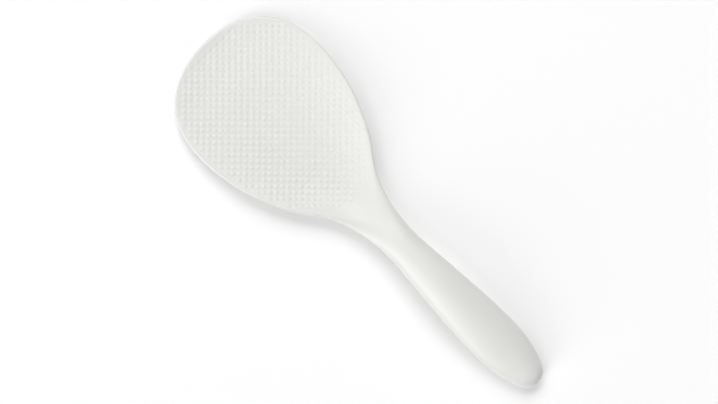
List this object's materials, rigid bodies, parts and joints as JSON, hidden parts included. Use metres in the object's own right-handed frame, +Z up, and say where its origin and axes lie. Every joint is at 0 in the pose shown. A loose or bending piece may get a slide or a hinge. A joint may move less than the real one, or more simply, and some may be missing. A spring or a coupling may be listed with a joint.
{
  "type": "rice paddle",
  "caption": "White plastic rice paddle with a dished round blade, raised non-stick dots and a rounded grip.",
  "frame": {"origin": "on the resting surface, under the middle of the paddle's length and width", "axes": "+X from the blade towards the handle's end, +Z up out of the dish, +Y across the blade"},
  "size_m": [0.2, 0.0694, 0.0149],
  "materials": {
    "white_polypropylene": "satin white moulded polypropylene"
  },
  "bodies": {
    "root": {"blade": "white_polypropylene", "neck": "white_polypropylene", "handle": "white_polypropylene", "front_nubs": "white_polypropylene"}
  },
  "joints": []
}
